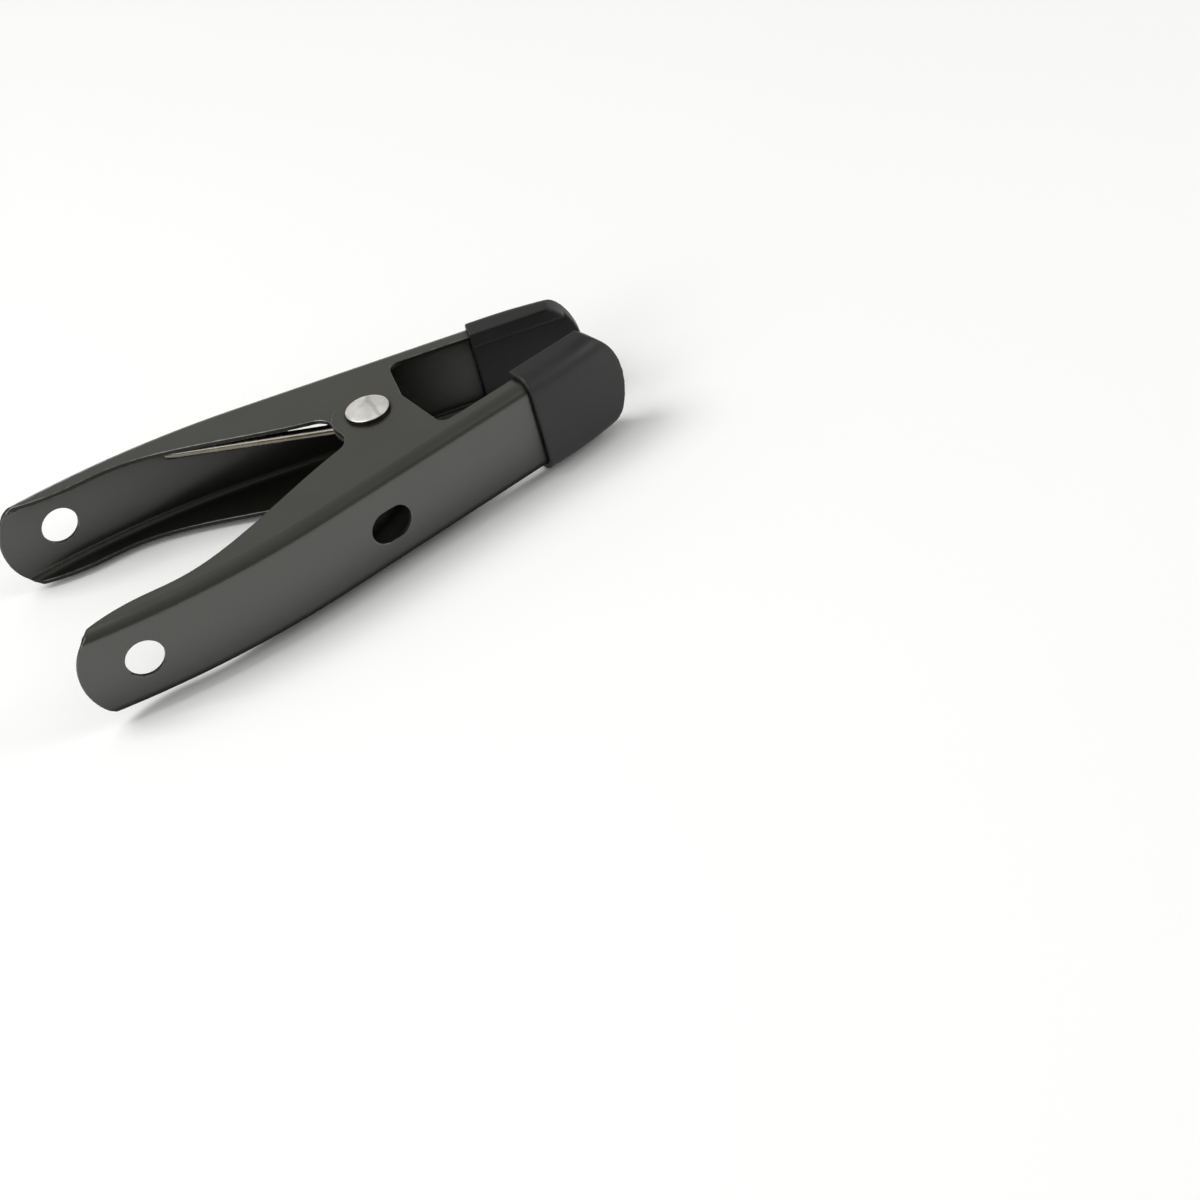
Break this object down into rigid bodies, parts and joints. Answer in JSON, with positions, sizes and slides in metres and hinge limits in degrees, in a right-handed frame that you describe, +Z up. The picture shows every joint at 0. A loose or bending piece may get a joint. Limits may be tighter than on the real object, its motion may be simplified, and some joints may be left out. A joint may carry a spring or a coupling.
{
  "type": "spring clamp",
  "caption": "Pressed-steel spring clamp, black satin paint, with dipped jaw ends, a torsion spring round a domed rivet and a hanging hole and slot in each handle.",
  "frame": {"origin": "centre of the underside of the bounding box; the clamp lies on its side with the handles spread and the jaws part open, as when gripping", "axes": "+X along the clamp's middle from the handle tips to the jaws; +Y towards the upper half; +Z up, along the rivet towards its domed head"},
  "size_m": [0.1144, 0.0528, 0.0223],
  "materials": {
    "painted_steel": "satin black paint",
    "rivet_steel": "bright zinc plating, scuffed",
    "spring_steel": "drawn wire, bright",
    "dipped_vinyl": "soft matt dip"
  },
  "bodies": {
    "lower": {"lower_half": "painted_steel", "lower_jaw_cap": "dipped_vinyl", "pivot_rivet": "rivet_steel", "torsion_spring": "spring_steel"},
    "upper": {"upper_half": "painted_steel", "upper_jaw_cap": "dipped_vinyl"}
  },
  "joints": [
    {"name": "pivot_hinge", "type": "hinge", "parent": "lower", "child": "upper", "pos_m": [0.01137, 0, 0.01175], "axis": [0, 0, 1], "range_deg": [-15.2, 37.6], "stiffness_Nm_per_rad": 1.5, "springref_deg": -34.38, "deforming": ["torsion_spring"]}
  ]
}
